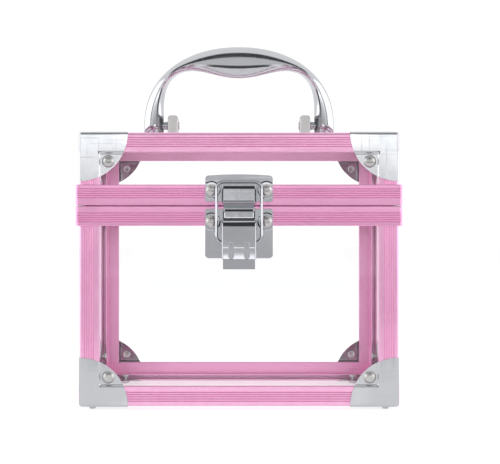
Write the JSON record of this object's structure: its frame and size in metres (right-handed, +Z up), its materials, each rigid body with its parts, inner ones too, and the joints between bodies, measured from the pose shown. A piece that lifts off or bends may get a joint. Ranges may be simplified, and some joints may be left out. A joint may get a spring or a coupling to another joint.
{
  "type": "makeup train case",
  "caption": "Clear box-shaped makeup case with ribbed aluminium edges, metal corners, hinged lid, draw latch and arched top handle.",
  "frame": {"origin": "middle of the outline on the plane that the feet stand on", "axes": "+Z up, -Y towards the latch, +X to the right seen from the front"},
  "size_m": [0.2146, 0.1717, 0.248],
  "materials": {
    "pink_aluminium": "pink anodised, satin, lengthwise grooves",
    "clear_acrylic": "clear polished acrylic sheet",
    "corner_plate": "nickel-plated pressed steel, soft mirror",
    "rivet_steel": "satin, slightly tarnished",
    "latch_chrome": "mirror chrome on pressed steel",
    "plated_handle": "mirror chrome plating on moulded plastic",
    "hinge_steel": "zinc plated"
  },
  "bodies": {
    "case": {"body_post_front_left": "pink_aluminium", "body_post_front_right": "pink_aluminium", "body_post_rear_right": "pink_aluminium", "body_post_rear_left": "pink_aluminium", "body_corner_front_left": "corner_plate", "body_corner_front_right": "corner_plate", "body_corner_rear_right": "corner_plate", "body_corner_rear_left": "corner_plate", "body_rail_front": "pink_aluminium", "body_rail_right": "pink_aluminium", "body_rail_rear": "pink_aluminium", "body_rail_left": "pink_aluminium", "body_band_front": "pink_aluminium", "body_band_right": "pink_aluminium", "body_band_rear": "pink_aluminium", "body_band_left": "pink_aluminium", "body_panel_front": "clear_acrylic", "body_panel_right": "clear_acrylic", "body_panel_rear": "clear_acrylic", "body_panel_left": "clear_acrylic", "base_panel": "clear_acrylic", "body_corner_rivets": "rivet_steel", "latch_plate": "latch_chrome", "latch_pin": "latch_chrome", "hinge_body_leaves": "hinge_steel", "hinge_pins": "hinge_steel", "body_hardware_rivets": "rivet_steel"},
    "lid": {"lid_post_front_left": "pink_aluminium", "lid_post_front_right": "pink_aluminium", "lid_post_rear_right": "pink_aluminium", "lid_post_rear_left": "pink_aluminium", "lid_corner_front_left": "corner_plate", "lid_corner_front_right": "corner_plate", "lid_corner_rear_right": "corner_plate", "lid_corner_rear_left": "corner_plate", "lid_rail_front": "pink_aluminium", "lid_rail_right": "pink_aluminium", "lid_rail_rear": "pink_aluminium", "lid_rail_left": "pink_aluminium", "lid_band_front": "pink_aluminium", "lid_band_right": "pink_aluminium", "lid_band_rear": "pink_aluminium", "lid_band_left": "pink_aluminium", "lid_panel_front": "clear_acrylic", "lid_panel_right": "clear_acrylic", "lid_panel_rear": "clear_acrylic", "lid_panel_left": "clear_acrylic", "top_panel": "clear_acrylic", "lid_corner_rivets": "rivet_steel", "handle_bracket_left": "plated_handle", "handle_bracket_right": "plated_handle", "handle_pins": "hinge_steel", "handle_screws": "hinge_steel", "latch_keeper": "latch_chrome", "hinge_lid_leaves": "hinge_steel", "lid_hardware_rivets": "rivet_steel"},
    "handle": {"handle": "plated_handle"},
    "latch_lever": {"latch_lever": "latch_chrome"},
    "latch_bail": {"latch_bail": "latch_chrome"}
  },
  "joints": [
    {"name": "lid_hinge", "type": "hinge", "parent": "case", "child": "lid", "pos_m": [0, 0.08335, 0.1344], "axis": [-1, 0, 0], "range_deg": [0, 100]},
    {"name": "handle_fold", "type": "hinge", "parent": "lid", "child": "handle", "pos_m": [0, 0.00325, 0.1918], "axis": [1, 0, 0], "range_deg": [-88, 88]},
    {"name": "latch_lever", "type": "hinge", "parent": "case", "child": "latch_lever", "pos_m": [0, -0.07925, 0.1219], "axis": [-1, 0, 0], "range_deg": [0, 120]},
    {"name": "latch_bail", "type": "hinge", "parent": "latch_lever", "child": "latch_bail", "pos_m": [0, -0.07925, 0.11], "axis": [-1, 0, 0], "range_deg": [-102.5, 0]}
  ],
  "couplings": [
    {"joint": "latch_bail", "follows": "latch_lever", "ratio": -0.85}
  ]
}
